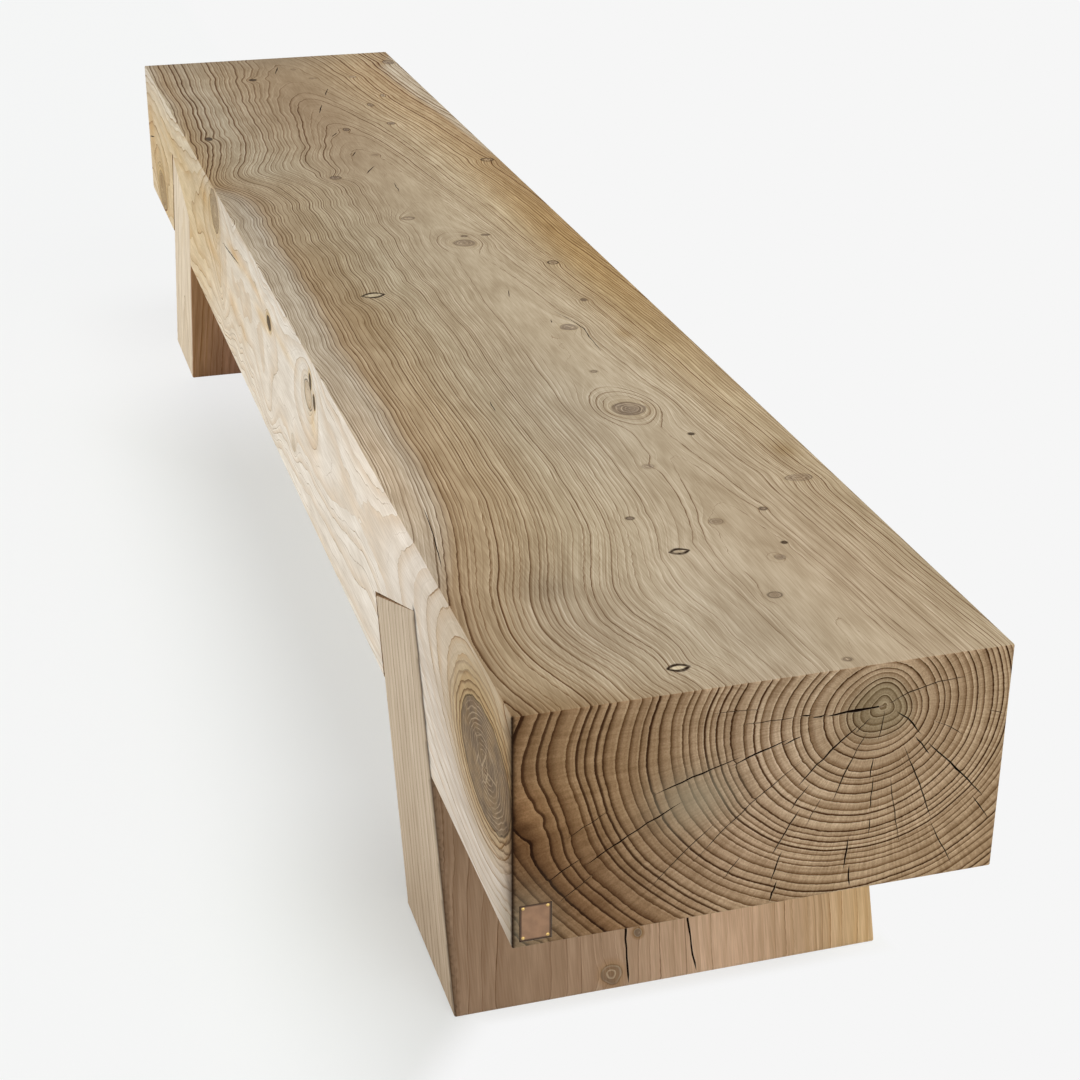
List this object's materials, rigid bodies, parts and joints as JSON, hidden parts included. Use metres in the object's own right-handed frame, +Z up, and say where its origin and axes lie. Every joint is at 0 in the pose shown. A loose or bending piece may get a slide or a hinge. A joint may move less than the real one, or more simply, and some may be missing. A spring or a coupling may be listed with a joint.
{
  "type": "wooden block bench",
  "caption": "Long low bench: one squared solid-wood log as the seat, on wide slab legs that lean outwards and are let into slanted housings across its underside.",
  "frame": {"origin": "on the floor, under the middle of the seat", "axes": "+X along the bench towards the end with the plate, +Z up, +Y across the bench"},
  "size_m": [2.4006, 0.44, 0.447],
  "materials": {
    "beam_wood": "sawn and sanded softwood log, oiled matt",
    "leg_wood": "sawn and sanded softwood slab, oiled matt",
    "dowel_wood": "turned hardwood, unfinished",
    "plate_metal": "thin copper-coloured sheet, matt",
    "pin_brass": "polished domed heads"
  },
  "bodies": {
    "root": {"beam": "beam_wood", "near_leg": "leg_wood", "far_leg": "leg_wood", "near_leg_dowel_left": "dowel_wood", "near_leg_dowel_middle": "dowel_wood", "near_leg_dowel_right": "dowel_wood", "far_leg_dowel_left": "dowel_wood", "far_leg_dowel_middle": "dowel_wood", "far_leg_dowel_right": "dowel_wood", "plate": "plate_metal", "plate_pins": "pin_brass"}
  },
  "joints": []
}
